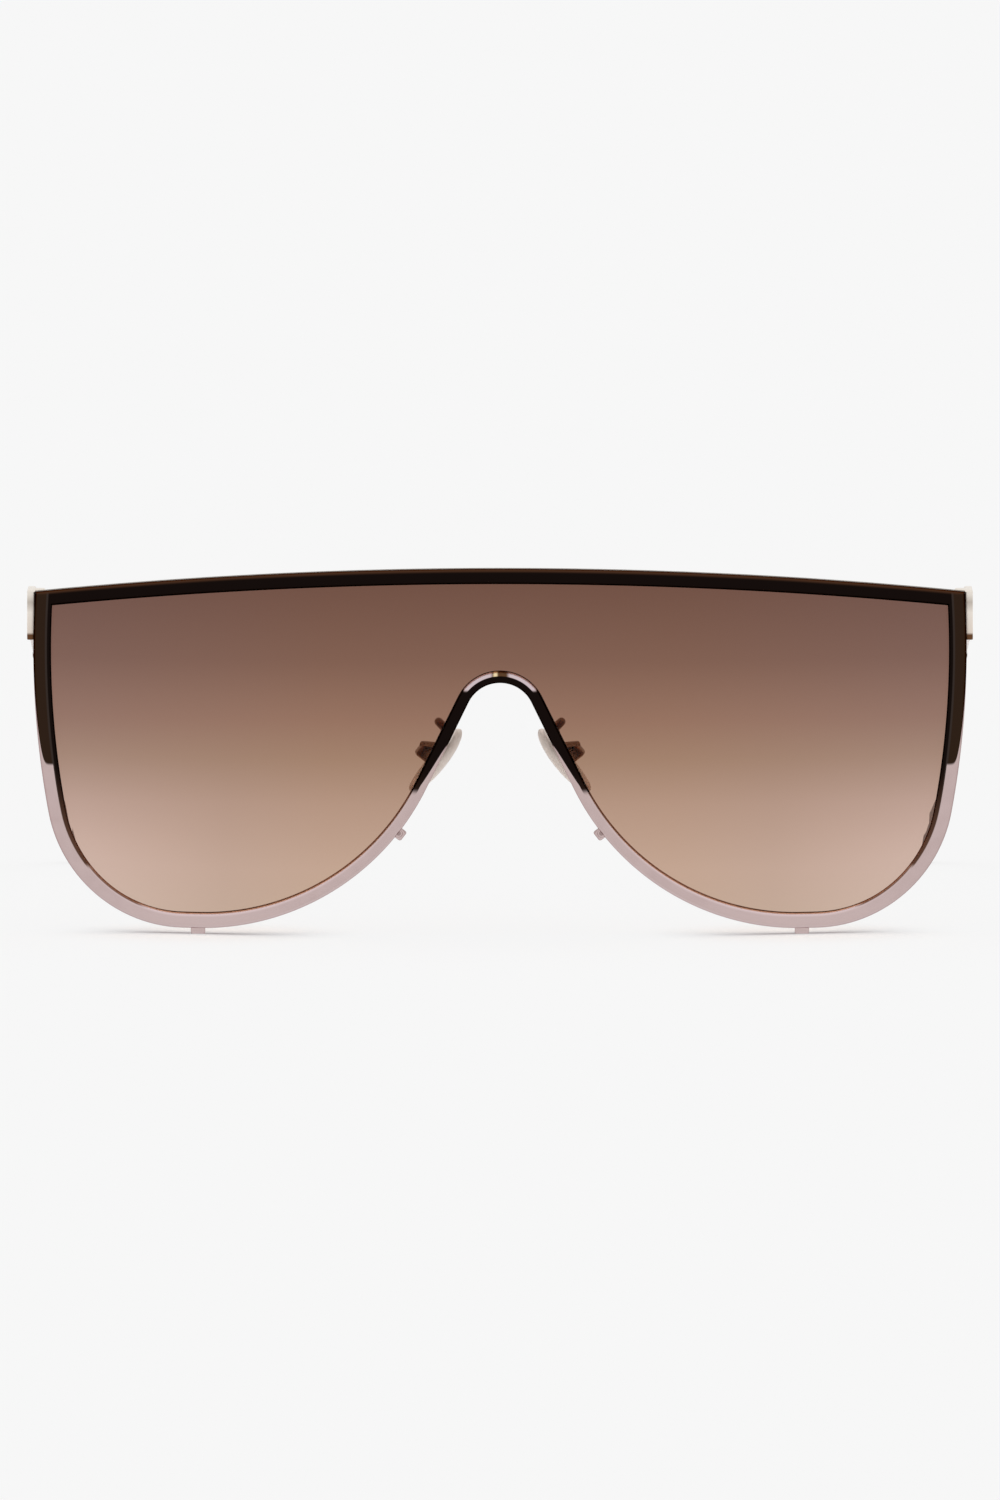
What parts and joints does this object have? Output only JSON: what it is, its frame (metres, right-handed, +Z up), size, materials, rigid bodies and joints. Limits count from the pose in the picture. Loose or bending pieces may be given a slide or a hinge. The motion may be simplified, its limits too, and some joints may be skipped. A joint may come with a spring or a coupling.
{
  "type": "shield sunglasses",
  "caption": "Flat-topped shield sunglasses: one curved gradient lens in a screwed metal rim, with rocking nose pads and folding temples.",
  "frame": {"origin": "on the floor, under the middle of the box around the open sunglasses", "axes": "+Z up, -Y the way the wearer looks, +X to the wearer's left"},
  "size_m": [0.146, 0.158, 0.0564],
  "materials": {
    "lens": "clear, brown gradient tint, darker at the top",
    "dark_metal": "polished dark brown lacquer, fading to rose metal low on the sides and beside the nose",
    "rose_metal": "polished pale rose plating",
    "arm_metal": "polished bronze plating",
    "steel": "satin",
    "washer": "satin",
    "silicone": "soft, milky clear",
    "clear_plastic": "clear",
    "tip_plastic": "polished dark brown"
  },
  "bodies": {
    "front": {"shield_lens": "lens", "brow_rim": "dark_metal", "bridge_rim": "dark_metal", "lower_rim_left": "rose_metal", "lower_rim_right": "rose_metal", "rim_lock_screws": "steel", "end_piece_left": "rose_metal", "end_piece_right": "rose_metal", "hinge_front_left": "steel", "hinge_front_right": "steel", "hinge_screw_left": "steel", "hinge_screw_right": "steel", "hinge_washers_left": "washer", "hinge_washers_right": "washer", "pad_arm_left": "arm_metal", "pad_arm_right": "arm_metal", "pad_box_left": "arm_metal", "pad_box_right": "arm_metal", "pad_screw_left": "steel", "pad_screw_right": "steel"},
    "temple_left": {"temple_left": "rose_metal", "temple_tip_left": "tip_plastic", "hinge_rear_left": "steel"},
    "pad_left": {"nose_pad_left": "silicone", "pad_core_left": "clear_plastic"},
    "temple_right": {"temple_right": "rose_metal", "temple_tip_right": "tip_plastic", "hinge_rear_right": "steel"},
    "pad_right": {"nose_pad_right": "silicone", "pad_core_right": "clear_plastic"}
  },
  "joints": [
    {"name": "temple_left_fold", "type": "hinge", "parent": "front", "child": "temple_left", "pos_m": [0.07015, -0.05202, 0.04795], "axis": [0, 0, 1], "range_deg": [0, 90]},
    {"name": "temple_right_fold", "type": "hinge", "parent": "front", "child": "temple_right", "pos_m": [-0.07015, -0.05202, 0.04795], "axis": [0, 0, -1], "range_deg": [0, 86]},
    {"name": "pad_left_rock", "type": "hinge", "parent": "front", "child": "pad_left", "pos_m": [0.01129, -0.06993, 0.02768], "axis": [-0.1349, -0.9848, -0.1093], "range_deg": [-8, 8]},
    {"name": "pad_right_rock", "type": "hinge", "parent": "front", "child": "pad_right", "pos_m": [-0.01129, -0.06993, 0.02768], "axis": [-0.1349, 0.9848, 0.1093], "range_deg": [-8, 8]}
  ]
}
